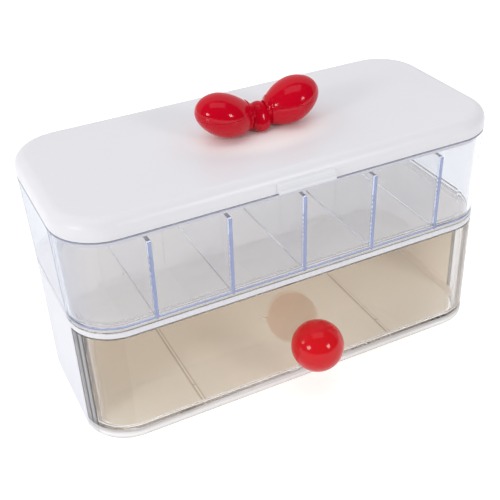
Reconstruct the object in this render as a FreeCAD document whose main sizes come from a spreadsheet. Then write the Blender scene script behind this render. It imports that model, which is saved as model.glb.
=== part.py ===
import FreeCAD, Part
import math
import os
import Sketcher

doc = FreeCAD.newDocument("hair_accessory_organizer")

# Driving sizes in millimetres and degrees, each one a cell of the sheet.
# The frame stands on the case's flat bottom, +Z up, the drawer opens towards -Y.
DRIVING_SIZES = {
    # the outline is widest at the tray's rim, where the lid meets it
    "rim_length": 220.0,
    "rim_width": 96.5,
    "rim_corner": 23.5,
    "edge_round": 0.4,
    # opaque case, open at the front, closed on top by the deck
    "case_height": 63.5,
    "case_wall": 2.5,
    "case_floor": 2.4,
    "deck_thickness": 2.6,
    "wrap_depth": 19.0,
    "tongue_inset": 5.5,
    "seat_inset": 4.0,
    "seat_depth": 0.8,
    "rail_spacing": 108.0,
    "rail_width": 1.4,
    "rail_height": 0.5,
    "rail_nose": 2.6,
    # clear drawer, its front wraps round both corners of the case
    "front_wall": 2.4,
    "drawer_wall": 2.0,
    "drawer_floor": 2.0,
    "drawer_fillet": 3.0,
    "wall_drop": 2.0,
    "table_gap": 0.4,
    "deck_gap": 0.5,
    "wrap_gap": 0.4,
    "side_gap": 0.4,
    "back_gap": 1.0,
    "gate_radius": 2.25,
    "gate_depth": 0.3,
    # red ball knob on its countersunk screw
    "knob_radius": 12.75,
    "knob_stand_off": 12.25,
    "knob_level": 29.0,
    "knob_screw_radius": 1.25,
    "knob_screw_head": 2.3,
    "knob_screw_length": 12.0,
    "knob_hole_clearance": 0.15,
    # clear tray with moulded dividers
    "tray_height": 48.0,
    "tray_draft": 1.2,
    "tray_wall": 2.2,
    "tray_floor": 1.3,
    "foot_rise": 2.0,
    "tray_fillet": 1.0,
    "divider_count": 5,
    "divider_pitch": 37.0,
    "divider_thickness": 1.8,
    "divider_drop": 5.5,
    "seat_side_gap": 0.3,
    "seat_floor_gap": 0.2,
    "land_width": 1.6,
    # opaque lid
    "lid_height": 9.3,
    "lid_roof": 2.2,
    "lid_top_round": 5.5,
    "lid_inner_round": 2.0,
    "skirt_depth": 3.0,
    "skirt_thickness": 1.4,
    "skirt_gap": 0.35,
    "tab_length": 28.5,
    "tab_reach": 2.6,
    "tab_step_reach": 1.5,
    "tab_lift": 0.8,
    "tab_lip_height": 1.3,
    "tab_step_height": 2.6,
    "tab_round": 0.5,
    # hinges on the back of tray and lid
    "hinge_spacing": 124.0,
    "barrel_radius": 2.6,
    "hinge_gap": 0.3,
    "knuckle_gap": 0.3,
    "tray_knuckle_length": 14.0,
    "lid_knuckle_length": 7.0,
    "gusset_angle": 50.0,
    "web_angle": 60.0,
    "pin_radius": 1.0,
    "pin_clearance": 0.05,
    "pin_length": 28.0,
    "stop_angle": 105.0,
    "stop_gap": 0.04,
    "heel_width": 1.6,
    # bow of two half shells
    "bow_forward": 2.8,
    "bow_wall": 1.8,
    "lobe_offset": 17.5,
    "lobe_lift": 10.7,
    "lobe_belly": 11.1,
    "lobe_reach": 13.9,
    "lobe_tip_round": 8.9,
    "lobe_neck": 5.9,
    "lobe_neck_run": 12.0,
    "lobe_tilt": 12.1,
    "knot_half_length": 4.6,
    "knot_crown": 7.05,
    "knot_edge": 6.3,
    "knot_lift": 6.7,
    "collar_width": 1.6,
    "collar_round": 0.85,
    "parting_lift": 11.8,
    "post_radius": 3.2,
    "post_height": 8.8,
    "bow_screw_radius": 1.25,
    "bow_screw_length": 10.0,
    "bow_screw_head": 2.8,
    "bow_screw_head_height": 1.9,
    "lid_hole_clearance": 0.35,
    "boss_radius": 4.2,
    "boss_height": 1.2,
    "driver_cross_width": 0.7,
    "driver_cross_length": 2.6,
    "driver_cross_depth": 0.9,
}

# Places that follow from the driving sizes.
WORKED_PLACES = {
    "rim_x": "sizes.rim_length / 2",
    "rim_y": "sizes.rim_width / 2",
    "foot_x": "sizes.rim_length / 2 - sizes.tray_draft",
    "foot_y": "sizes.rim_width / 2 - sizes.tray_draft",
    "foot_corner": "sizes.rim_corner - sizes.tray_draft",
    "deck_under": "sizes.case_height - sizes.deck_thickness",
    "wrap_y": "sizes.wrap_depth + sizes.tray_draft - sizes.rim_width / 2",
    "tray_under": "sizes.case_height + sizes.foot_rise",
    "tray_inside": "sizes.case_height + sizes.foot_rise + sizes.tray_floor",
    "rim_level": "sizes.case_height + sizes.tray_height",
    "lid_top": "sizes.case_height + sizes.tray_height + sizes.lid_height",
    "front_top": "sizes.case_height - sizes.deck_thickness - sizes.deck_gap",
    "drawer_under": "sizes.case_floor + sizes.rail_height",
    "drawer_inside": "sizes.case_floor + sizes.rail_height + sizes.drawer_floor",
    "hinge_x": "sizes.hinge_spacing / 2",
    "hinge_offset": "sizes.barrel_radius + sizes.hinge_gap",
    "hinge_y": "sizes.rim_width / 2 + sizes.barrel_radius + sizes.hinge_gap",
}


def fill_sheet(name, cells):
    """One row per value: its name, then its content under that alias."""
    sheet = doc.addObject("Spreadsheet::Sheet", name)
    for row, (alias, content) in enumerate(cells.items(), start=1):
        sheet.set(f"A{row}", alias)
        sheet.set(f"B{row}", content if isinstance(content, str) else str(content))
        sheet.setAlias(f"B{row}", alias)
    doc.recompute()
    return sheet


sizes = fill_sheet("sizes", DRIVING_SIZES)
places = fill_sheet("places", {name: f"={formula}" for name, formula in WORKED_PLACES.items()})


def worth(formula):
    """The number that a formula gives now."""
    result = places.evalExpression(formula)
    return float(getattr(result, "Value", result))


def new_body(name):
    return doc.addObject("PartDesign::Body", name)


def origin_plane(body, role):
    return next(item for item in body.Origin.OriginFeatures if item.Role == role)


def new_sketch(body, name, plane="XY_Plane", level="0"):
    """A sketch on one of the body's own planes, moved along that plane's normal."""
    sketch = body.newObject("Sketcher::SketchObject", name)
    sketch.AttachmentSupport = (origin_plane(body, plane), [""])
    sketch.MapMode = "FlatFace"
    sketch.setExpression("AttachmentOffset.Base.z", level)
    return sketch


def bind(sketch, kind, *args, formula):
    """Adds one constraint with a size and ties it to a formula."""
    index = sketch.addConstraint(Sketcher.Constraint(kind, *args, worth(formula)))
    sketch.renameConstraint(index, f"size_{index}")
    sketch.setExpression(f"Constraints.size_{index}", formula)


def arc_between(start, end, radius, turn):
    """The shorter arc from start to end. A sketch keeps every arc counter-clockwise."""
    if turn == "right":
        start, end = end, start
    chord = end - start
    middle = (start + end) * 0.5
    height = math.sqrt(max(radius ** 2 - (chord.Length / 2) ** 2, 0.0))
    centre = middle + FreeCAD.Vector(-chord.y, chord.x, 0).normalize() * height
    first = math.atan2(start.y - centre.y, start.x - centre.x)
    last = math.atan2(end.y - centre.y, end.x - centre.x)
    if last <= first:
        last += 2 * math.pi
    return Part.ArcOfCircle(Part.Circle(centre, FreeCAD.Vector(0, 0, 1), radius), first, last)


def draw_outline(sketch, corners, arcs=None):
    """A closed outline through corners, each a pair of formulas.

    arcs gives, for the corner an arc starts from, its radius and the side it turns to.
    """
    arcs = arcs or {}
    points = [FreeCAD.Vector(worth(x), worth(y), 0) for x, y in corners]
    ends = []
    for number, start in enumerate(points):
        end = points[(number + 1) % len(points)]
        if number in arcs:
            radius, turn = arcs[number]
            index = sketch.addGeometry(arc_between(start, end, worth(radius), turn), False)
            bind(sketch, "Radius", index, formula=radius)
            ends.append((index, 2, 1) if turn == "right" else (index, 1, 2))
        else:
            index = sketch.addGeometry(Part.LineSegment(start, end), False)
            ends.append((index, 1, 2))
    for number, (x, y) in enumerate(corners):
        index, start_point, _ = ends[number]
        before, _, end_point = ends[number - 1]
        sketch.addConstraint(Sketcher.Constraint("Coincident", before, end_point, index, start_point))
        bind(sketch, "DistanceX", -1, 1, index, start_point, formula=x)
        bind(sketch, "DistanceY", -1, 1, index, start_point, formula=y)


def draw_circle(sketch, x, y, radius):
    centre = FreeCAD.Vector(worth(x), worth(y), 0)
    circle = Part.Circle(centre, FreeCAD.Vector(0, 0, 1), worth(radius))
    index = sketch.addGeometry(circle, False)
    bind(sketch, "Radius", index, formula=radius)
    bind(sketch, "DistanceX", -1, 1, index, 3, formula=x)
    bind(sketch, "DistanceY", -1, 1, index, 3, formula=y)


def draw_rounded(sketch, half_length, front, back, corner):
    """A rectangle with four round corners, as wide to the left as to the right."""
    left = f"-({half_length})"
    inner_right = f"{half_length} - ({corner})"
    inner_left = f"({corner}) - ({half_length})"
    low = f"{front} + ({corner})"
    high = f"{back} - ({corner})"
    corners = [
        (inner_left, front), (inner_right, front),
        (half_length, low), (half_length, high),
        (inner_right, back), (inner_left, back),
        (left, high), (left, low),
    ]
    draw_outline(sketch, corners, {number: (corner, "left") for number in (1, 3, 5, 7)})


def draw_inset(sketch, x, y, corner, inset):
    """The object's own rounded outline, drawn in by inset all round."""
    draw_rounded(sketch, f"{x} - ({inset})", f"({inset}) - {y}", f"{y} - ({inset})",
                 f"{corner} - ({inset})")


def draw_box(sketch, left, right, front, back):
    draw_outline(sketch, [(left, front), (right, front), (right, back), (left, back)])


def feature(body, kind, name, profile, length, reverse=False, both_ways=False, taper="0"):
    """A Pad or Pocket of a sketch, checked for the volume that it adds or takes."""
    before = body.Shape.Volume if not body.Shape.isNull() else 0.0
    item = body.newObject(f"PartDesign::{kind}", name)
    item.Profile = profile
    item.setExpression("Length", length)
    item.setExpression("TaperAngle", taper)
    item.Reversed = reverse
    item.SideType = "Symmetric" if both_ways else "One side"
    doc.recompute()
    change = body.Shape.Volume - before
    if (change > 0) != (kind == "Pad"):
        raise RuntimeError(f"{body.Label} {name} changes the volume by {change:.3f}")
    return item


def flat_face(shape, level):
    """The largest flat level face at that height."""
    faces = [
        face for face in shape.Faces
        if isinstance(face.Surface, Part.Plane)
        and abs(face.BoundBox.ZMin - level) < 1e-4
        and abs(face.BoundBox.ZMax - level) < 1e-4
    ]
    return max(faces, key=lambda face: face.Area)


def edge_names(shape, wanted):
    """Names of the shape's edges that are also in wanted."""
    return [
        f"Edge{number}"
        for number, edge in enumerate(shape.Edges, start=1)
        if any(edge.isSame(other) for other in wanted)
    ]


def soften(body, kind, name, size, edges):
    """A Fillet or Chamfer of the edges on the body's tip."""
    base = body.Tip
    item = body.newObject(f"PartDesign::{kind}", name)
    item.Base = (base, edge_names(base.Shape, edges))
    item.setExpression("Radius" if kind == "Fillet" else "Size", size)
    doc.recompute()
    return item


def outer_edges(body, formula):
    return flat_face(body.Tip.Shape, worth(formula)).OuterWire.Edges


def revolve(body, name, sketch):
    """A full turn of a sketch about the sketch's own horizontal axis."""
    item = body.newObject("PartDesign::Revolution", name)
    item.Profile = sketch
    item.ReferenceAxis = (sketch, ["H_Axis"])
    item.Angle = 360
    doc.recompute()
    return item


def mirror_across(body, name, originals):
    """The same features again on the other side of the middle plane."""
    item = body.newObject("PartDesign::Mirrored", name)
    item.Originals = originals
    item.MirrorPlane = (origin_plane(body, "YZ_Plane"), [""])
    body.Tip = item
    doc.recompute()
    return item


def place_at(item, x="0", y="0", z="0"):
    item.setExpression("Placement.Base.x", x)
    item.setExpression("Placement.Base.y", y)
    item.setExpression("Placement.Base.z", z)


def primitive(kind, name, **formulas):
    item = doc.addObject(f"Part::{kind}", name)
    for key, formula in formulas.items():
        item.setExpression(key, formula)
    return item


def combine(kind, name, base, tool):
    item = doc.addObject(f"Part::{kind}", name)
    item.Base = base
    item.Tool = tool
    return item


def join_all(name, shapes):
    item = doc.addObject("Part::MultiFuse", name)
    item.Shapes = shapes
    return item


def build_case():
    """Opaque box moulded in one: floor, three walls and the deck that carries the tray."""
    body = new_body("case")
    block = new_sketch(body, "case_outline")
    draw_inset(block, "places.foot_x", "places.foot_y", "places.foot_corner", "0")
    feature(body, "Pad", "case_block", block, "sizes.case_height")
    soften(body, "Fillet", "deck_edge", "sizes.edge_round", outer_edges(body, "sizes.case_height"))
    soften(body, "Fillet", "bottom_edge", "sizes.edge_round", outer_edges(body, "0"))

    bay = new_sketch(body, "bay_outline", level="sizes.case_floor")
    draw_inset(bay, "places.foot_x", "places.foot_y", "places.foot_corner", "sizes.case_wall")
    feature(body, "Pocket", "bay", bay, "places.deck_under - sizes.case_floor", reverse=True)

    mouth = new_sketch(body, "mouth_outline")
    draw_box(mouth, "-places.rim_x", "places.rim_x", "-places.rim_y", "places.wrap_y")
    feature(body, "Pocket", "mouth", mouth, "places.deck_under", reverse=True)

    tongue = new_sketch(body, "tongue_outline")
    draw_inset(tongue, "places.foot_x", "places.foot_y", "places.foot_corner", "sizes.tongue_inset")
    feature(body, "Pad", "floor_tongue", tongue, "sizes.case_floor")

    seat = new_sketch(body, "seat_outline", level="sizes.case_height")
    draw_inset(seat, "places.foot_x", "places.foot_y", "places.foot_corner", "sizes.seat_inset")
    feature(body, "Pocket", "tray_seat", seat, "sizes.seat_depth")

    rails = new_sketch(body, "rail_outlines", level="sizes.case_floor")
    rail_front = "sizes.tongue_inset + sizes.rail_nose / 2 - places.foot_y"
    for side in ("-", ""):
        middle = f"{side}sizes.rail_spacing / 2"
        draw_box(rails, f"{middle} - sizes.rail_width / 2", f"{middle} + sizes.rail_width / 2",
                 rail_front, "places.foot_y - sizes.case_wall")
    feature(body, "Pad", "rails", rails, "sizes.rail_height")

    noses = new_sketch(body, "rail_nose_outlines", level="sizes.case_floor")
    for side in ("-", ""):
        draw_circle(noses, f"{side}sizes.rail_spacing / 2", rail_front, "sizes.rail_nose / 2")
    feature(body, "Pad", "rail_noses", noses, "sizes.rail_height")
    return body


def build_drawer():
    """One clear moulding: a shallow-walled box behind a front that wraps both corners."""
    body = new_body("drawer")
    front = new_sketch(body, "front_outline", level="sizes.table_gap")
    draw_inset(front, "places.foot_x", "places.foot_y", "places.foot_corner", "0")
    feature(body, "Pad", "front_block", front, "places.front_top - sizes.table_gap")
    soften(body, "Fillet", "front_top_edge", "sizes.edge_round", outer_edges(body, "places.front_top"))
    soften(body, "Fillet", "front_foot_edge", "sizes.edge_round", outer_edges(body, "sizes.table_gap"))

    behind = new_sketch(body, "behind_outline", level="sizes.table_gap")
    draw_box(behind, "-places.rim_x", "places.rim_x", "places.wrap_y - sizes.wrap_gap", "places.rim_y")
    feature(body, "Pocket", "clear_behind", behind, "places.front_top", reverse=True)

    under = new_sketch(body, "under_outline", level="sizes.table_gap")
    draw_inset(under, "places.foot_x", "places.foot_y", "places.foot_corner", "sizes.front_wall")
    feature(body, "Pocket", "clear_under", under, "places.drawer_under - sizes.table_gap", reverse=True)

    side = "places.foot_x - sizes.case_wall - sizes.side_gap"
    back = "places.foot_y - sizes.case_wall - sizes.back_gap"
    corner = "places.foot_corner - sizes.case_wall - sizes.side_gap"
    tub = new_sketch(body, "tub_outline", level="places.drawer_under")
    draw_rounded(tub, side, "sizes.front_wall / 2 - places.foot_y", back, corner)
    feature(body, "Pad", "tub", tub, "places.front_top - sizes.wall_drop - places.drawer_under")

    cavity = new_sketch(body, "cavity_outline", level="places.drawer_inside")
    draw_rounded(cavity, f"{side} - sizes.drawer_wall", "sizes.front_wall - places.foot_y",
                 f"{back} - sizes.drawer_wall", f"{corner} - sizes.drawer_wall")
    feature(body, "Pocket", "cavity", cavity, "places.front_top - places.drawer_inside", reverse=True)
    soften(body, "Fillet", "cavity_round", "sizes.drawer_fillet",
           outer_edges(body, "places.drawer_inside"))

    gate = new_sketch(body, "gate_outline", level="places.drawer_inside")
    draw_circle(gate, "0", "0", "sizes.gate_radius")
    feature(body, "Pocket", "gate_mark", gate, "sizes.gate_depth")

    hole = new_sketch(body, "knob_hole_outline", plane="XZ_Plane",
                      level="places.foot_y - sizes.front_wall")
    hole_radius = "sizes.knob_screw_radius + sizes.knob_hole_clearance"
    draw_circle(hole, "0", "sizes.knob_level", hole_radius)
    feature(body, "Pocket", "knob_hole", hole, "sizes.front_wall", reverse=True)
    inner_face = worth("sizes.front_wall - places.foot_y")
    countersink = [
        edge for edge in body.Tip.Shape.Edges
        if isinstance(edge.Curve, Part.Circle)
        and abs(edge.Curve.Radius - worth(hole_radius)) < 1e-4
        and abs(edge.BoundBox.YMin - inner_face) < 1e-4
        and abs(edge.BoundBox.YMax - inner_face) < 1e-4
    ]
    soften(body, "Chamfer", "countersink", "sizes.knob_screw_head - sizes.knob_screw_radius",
           countersink)
    return body


def build_knob_ball():
    """Ball turned about the screw's axis, with a flat where it meets the drawer front."""
    body = new_body("knob_ball")
    profile = new_sketch(body, "ball_profile", plane="YZ_Plane")
    draw_outline(
        profile,
        [
            ("-sizes.knob_stand_off - sizes.knob_radius", "0"),
            ("0", "0"),
            ("0", "sqrt(sizes.knob_radius ^ 2 - sizes.knob_stand_off ^ 2)"),
            ("-sizes.knob_stand_off", "sizes.knob_radius"),
        ],
        {2: ("sizes.knob_radius", "left"), 3: ("sizes.knob_radius", "left")},
    )
    revolve(body, "ball", profile)
    pilot = new_sketch(body, "pilot_outline", plane="XZ_Plane")
    draw_circle(pilot, "0", "0", "sizes.knob_screw_radius")
    feature(body, "Pocket", "pilot_hole", pilot, "sizes.knob_screw_length", reverse=True)
    place_at(body, y="-places.foot_y", z="sizes.knob_level")
    return body


def build_knob_screw():
    """Countersunk screw, its head flush with the inside of the drawer front."""
    body = new_body("knob_screw")
    shank = "sizes.knob_screw_radius"
    head = "sizes.knob_screw_head"
    length = "sizes.knob_screw_length"
    profile = new_sketch(body, "screw_profile", plane="YZ_Plane")
    draw_outline(
        profile,
        [
            (f"-{length}", "0"),
            ("0", "0"),
            ("0", head),
            (f"{shank} - {head}", shank),
            (f"{shank} - {length}", shank),
        ],
    )
    revolve(body, "screw", profile)
    cut_driver_cross(body, "XZ_Plane")
    place_at(body, y="sizes.front_wall - places.foot_y", z="sizes.knob_level")
    return body


def cut_driver_cross(body, plane, reverse=True):
    """The cross in a screw's head, sunk from the head's face at the body's origin."""
    half = "sizes.driver_cross_width / 2"
    reach = "sizes.driver_cross_length / 2"
    cross = new_sketch(body, "cross_outline", plane=plane)
    draw_outline(
        cross,
        [
            (half, f"-{reach}"), (half, f"-{half}"), (reach, f"-{half}"), (reach, half),
            (half, half), (half, reach), (f"-{half}", reach), (f"-{half}", half),
            (f"-{reach}", half), (f"-{reach}", f"-{half}"), (f"-{half}", f"-{half}"),
            (f"-{half}", f"-{reach}"),
        ],
    )
    feature(body, "Pocket", "driver_cross", cross, "sizes.driver_cross_depth", reverse=reverse)


def build_tray():
    """Clear tapered tray, its floor raised on the foot of its own walls, with cross dividers."""
    body = new_body("tray")
    foot = new_sketch(body, "foot_outline", level="sizes.case_height")
    draw_inset(foot, "places.foot_x", "places.foot_y", "places.foot_corner", "0")
    draft = "atan(sizes.tray_draft / sizes.tray_height)"
    feature(body, "Pad", "tray_block", foot, "sizes.tray_height", taper=draft)
    soften(body, "Fillet", "rim_edge", "sizes.edge_round", outer_edges(body, "places.rim_level"))
    soften(body, "Fillet", "foot_edge", "sizes.edge_round", outer_edges(body, "sizes.case_height"))

    hollow_depth = "(places.rim_level - places.tray_inside)"
    floor = new_sketch(body, "floor_outline", level="places.tray_inside")
    draw_inset(floor, "places.rim_x", "places.rim_y", "sizes.rim_corner",
               f"sizes.tray_wall + sizes.tray_draft * {hollow_depth} / sizes.tray_height")
    feature(body, "Pocket", "tray_hollow", floor, hollow_depth, reverse=True, taper=draft)
    soften(body, "Fillet", "hollow_round", "sizes.tray_fillet", outer_edges(body, "places.tray_inside"))

    # each divider runs from the middle of the front wall to the middle of the back wall
    low = "places.tray_under + sizes.tray_floor / 2"
    high = "places.rim_level - sizes.divider_drop"
    low_y = ("places.rim_y - sizes.tray_wall / 2"
             f" - sizes.tray_draft * (places.rim_level - {low}) / sizes.tray_height")
    high_y = ("places.rim_y - sizes.tray_wall / 2"
              " - sizes.tray_draft * sizes.divider_drop / sizes.tray_height")
    first_x = "-sizes.divider_pitch * (sizes.divider_count - 1) / 2"
    divider = new_sketch(body, "divider_outline", plane="YZ_Plane", level=first_x)
    draw_outline(divider, [(f"-({low_y})", low), (low_y, low), (high_y, high), (f"-({high_y})", high)])
    plate = feature(body, "Pad", "divider", divider, "sizes.divider_thickness", both_ways=True)
    row = body.newObject("PartDesign::LinearPattern", "divider_row")
    row.Originals = [plate]
    row.Direction = (origin_plane(body, "X_Axis"), [""])
    row.setExpression("Occurrences", "sizes.divider_count")
    row.setExpression("Length", "sizes.divider_pitch * (sizes.divider_count - 1)")
    body.Tip = row
    doc.recompute()

    # the floor is hollow underneath, but for the land that drops into the seat of the deck
    outline = ("places.foot_x", "places.foot_y", "places.foot_corner")
    under = new_sketch(body, "under_outline", level="sizes.case_height")
    draw_inset(under, *outline, "sizes.tray_wall")
    feature(body, "Pocket", "tray_underside", under, "sizes.foot_rise", reverse=True)
    land_inset = "sizes.seat_inset + sizes.seat_side_gap"
    land = new_sketch(body, "land_outline", level="places.tray_under")
    draw_inset(land, *outline, land_inset)
    draw_inset(land, *outline, f"{land_inset} + sizes.land_width")
    feature(body, "Pad", "tray_land", land, "sizes.foot_rise + sizes.seat_depth - sizes.seat_floor_gap",
            reverse=True)

    # knuckle with the gusset that carries it down the back wall
    radius = "sizes.barrel_radius"
    angle = "sizes.gusset_angle"
    inside = "places.rim_y - sizes.tray_wall / 2"
    tangent_y = f"places.hinge_y + {radius} * cos({angle})"
    tangent_z = f"places.rim_level - {radius} * sin({angle})"
    gusset_z = f"{tangent_z} - ({tangent_y} - ({inside})) * cos({angle}) / sin({angle})"
    knuckle = new_sketch(body, "knuckle_outline", plane="YZ_Plane", level="places.hinge_x")
    draw_outline(
        knuckle,
        [
            (inside, gusset_z),
            (tangent_y, tangent_z),
            (f"places.hinge_y + {radius}", "places.rim_level"),
            ("places.hinge_y", f"places.rim_level + {radius}"),
            (f"places.hinge_y - {radius}", "places.rim_level"),
            (inside, "places.rim_level"),
        ],
        {number: (radius, "left") for number in (1, 2, 3)},
    )
    barrel = feature(body, "Pad", "knuckle", knuckle, "sizes.tray_knuckle_length", both_ways=True)
    bore = new_sketch(body, "bore_outline", plane="YZ_Plane", level="places.hinge_x")
    draw_circle(bore, "places.hinge_y", "places.rim_level", "sizes.pin_radius")
    hole = feature(body, "Pocket", "bore", bore, "sizes.tray_knuckle_length", both_ways=True)
    mirror_across(body, "other_knuckle", [barrel, hole])
    return body


def build_lid():
    """Opaque lid: soft top edges, a skirt inside the tray's wall, a thumb tab and hinge ears."""
    body = new_body("lid")
    cover = new_sketch(body, "cover_outline", level="places.rim_level")
    draw_inset(cover, "places.rim_x", "places.rim_y", "sizes.rim_corner", "0")
    feature(body, "Pad", "cover", cover, "sizes.lid_height")
    soften(body, "Fillet", "top_round", "sizes.lid_top_round", outer_edges(body, "places.lid_top"))
    soften(body, "Fillet", "seam_edge", "sizes.edge_round", outer_edges(body, "places.rim_level"))

    lid_wall = "sizes.tray_wall + sizes.skirt_gap + sizes.skirt_thickness"
    hollow = new_sketch(body, "hollow_outline", level="places.rim_level")
    draw_inset(hollow, "places.rim_x", "places.rim_y", "sizes.rim_corner", lid_wall)
    feature(body, "Pocket", "hollow", hollow, "sizes.lid_height - sizes.lid_roof", reverse=True)
    roof = "places.lid_top - sizes.lid_roof"
    soften(body, "Fillet", "inner_round", "sizes.lid_inner_round", outer_edges(body, roof))

    skirt = new_sketch(body, "skirt_outline", level="places.rim_level")
    draw_inset(skirt, "places.rim_x", "places.rim_y", "sizes.rim_corner",
               "sizes.tray_wall + sizes.skirt_gap")
    draw_inset(skirt, "places.rim_x", "places.rim_y", "sizes.rim_corner", lid_wall)
    feature(body, "Pad", "skirt", skirt, "sizes.skirt_depth", reverse=True)

    bosses = new_sketch(body, "boss_outlines", level=roof)
    holes = new_sketch(body, "hole_outlines", level="places.lid_top")
    for side in ("-", ""):
        middle = (f"{side}sizes.lobe_offset", "-sizes.bow_forward")
        draw_circle(bosses, *middle, "sizes.boss_radius")
        draw_circle(holes, *middle, "sizes.bow_screw_radius + sizes.lid_hole_clearance")
    feature(body, "Pad", "bosses", bosses, "sizes.boss_height", reverse=True)
    feature(body, "Pocket", "screw_holes", holes, "sizes.lid_roof + sizes.boss_height")

    # two steps under the thumb: a lip, then a shorter one above it
    lip_low = "places.rim_level + sizes.tab_lift"
    lip_high = f"{lip_low} + sizes.tab_lip_height"
    step_high = f"{lip_high} + sizes.tab_step_height"
    inside = f"({lid_wall}) / 2 - places.rim_y"
    tab = new_sketch(body, "tab_outline", plane="YZ_Plane")
    draw_outline(
        tab,
        [
            (inside, lip_low),
            (inside, f"{step_high} + sizes.tab_round"),
            ("-places.rim_y", f"{step_high} + sizes.tab_round"),
            ("sizes.tab_round - places.rim_y - sizes.tab_step_reach", f"{step_high}"),
            ("-places.rim_y - sizes.tab_step_reach", f"{step_high} - sizes.tab_round"),
            ("-places.rim_y - sizes.tab_step_reach", f"{lip_high} + sizes.tab_round"),
            ("sizes.tab_round - places.rim_y - sizes.tab_reach", lip_high),
            ("-places.rim_y - sizes.tab_reach", f"{lip_high} - sizes.tab_round"),
            ("-places.rim_y - sizes.tab_reach", lip_low),
        ],
        {3: ("sizes.tab_round", "left"), 6: ("sizes.tab_round", "left")},
    )
    feature(body, "Pad", "thumb_tab", tab, "sizes.tab_length", both_ways=True)

    # hinge ears: one long barrel with its web, then the gap for the tray's knuckle
    radius = "sizes.barrel_radius"
    angle = "sizes.web_angle"
    wall = f"places.rim_y - ({lid_wall}) / 2"
    tangent_y = f"places.hinge_y + {radius} * cos({angle})"
    tangent_z = f"places.rim_level + {radius} * sin({angle})"
    web_z = f"{tangent_z} + ({tangent_y} - places.rim_y) * cos({angle}) / sin({angle})"
    ear = new_sketch(body, "ear_outline", plane="YZ_Plane", level="places.hinge_x")
    draw_outline(
        ear,
        [
            (wall, "places.rim_level"),
            (f"places.hinge_y - {radius}", "places.rim_level"),
            ("places.hinge_y", f"places.rim_level - {radius}"),
            (f"places.hinge_y + {radius}", "places.rim_level"),
            (tangent_y, tangent_z),
            ("places.rim_y", web_z),
            (wall, web_z),
        ],
        {number: (radius, "left") for number in (1, 2, 3)},
    )
    ear_length = "sizes.tray_knuckle_length + 2 * (sizes.knuckle_gap + sizes.lid_knuckle_length)"
    ears = feature(body, "Pad", "ears", ear, ear_length, both_ways=True)

    # the heel meets the tray's back wall when the lid stands open
    reach = "(places.hinge_offset - sizes.stop_gap)"
    stop = "sizes.stop_angle"
    heel = new_sketch(body, "heel_outline", plane="YZ_Plane", level="places.hinge_x")
    draw_outline(
        heel,
        [
            ("places.hinge_y", "places.rim_level"),
            (f"places.hinge_y - {reach} * cos({stop})", f"places.rim_level - {reach} * sin({stop})"),
            (f"places.hinge_y - {reach} * cos({stop}) + sizes.heel_width * sin({stop})",
             f"places.rim_level - {reach} * sin({stop}) - sizes.heel_width * cos({stop})"),
        ],
    )
    heels = feature(body, "Pad", "heels", heel, ear_length, both_ways=True)

    slot = new_sketch(body, "slot_outline", plane="YZ_Plane", level="places.hinge_x")
    room = f"2 * {radius}"
    draw_box(slot, "places.rim_y", f"places.hinge_y + {room}",
             f"places.rim_level - {room}", f"places.rim_level + {room}")
    slots = feature(body, "Pocket", "knuckle_slot", slot,
                    "sizes.tray_knuckle_length + 2 * sizes.knuckle_gap", both_ways=True)
    bore = new_sketch(body, "bore_outline", plane="YZ_Plane", level="places.hinge_x")
    draw_circle(bore, "places.hinge_y", "places.rim_level", "sizes.pin_radius + sizes.pin_clearance")
    bores = feature(body, "Pocket", "bore", bore, ear_length, both_ways=True)
    mirror_across(body, "other_ears", [ears, heels, slots, bores])
    return body


def build_hinge_pin(name, side):
    """Steel pin, a tight fit in the tray's knuckle and a running fit in the lid's ears."""
    body = new_body(name)
    round_bar = new_sketch(body, "bar_outline", plane="YZ_Plane")
    draw_circle(round_bar, "0", "0", "sizes.pin_radius")
    feature(body, "Pad", "bar", round_bar, "sizes.pin_length", both_ways=True)
    place_at(body, f"{side}places.hinge_x", "places.hinge_y", "places.rim_level")
    return body


def build_knot():
    """The bow's knot, a slightly crowned bead turned about the bow's long axis."""
    body = new_body("knot")
    half = "sizes.knot_half_length"
    bulge = "(sizes.knot_crown - sizes.knot_edge)"
    profile = new_sketch(body, "knot_profile", plane="XZ_Plane")
    draw_outline(
        profile,
        [(f"-{half}", "0"), (half, "0"), (half, "sizes.knot_edge"), (f"-{half}", "sizes.knot_edge")],
        {2: (f"({bulge} ^ 2 + {half} ^ 2) / (2 * {bulge})", "left")},
    )
    revolve(body, "knot_turned", profile)
    place_at(body, y="-sizes.bow_forward", z="places.lid_top + sizes.knot_lift")
    return body


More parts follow.
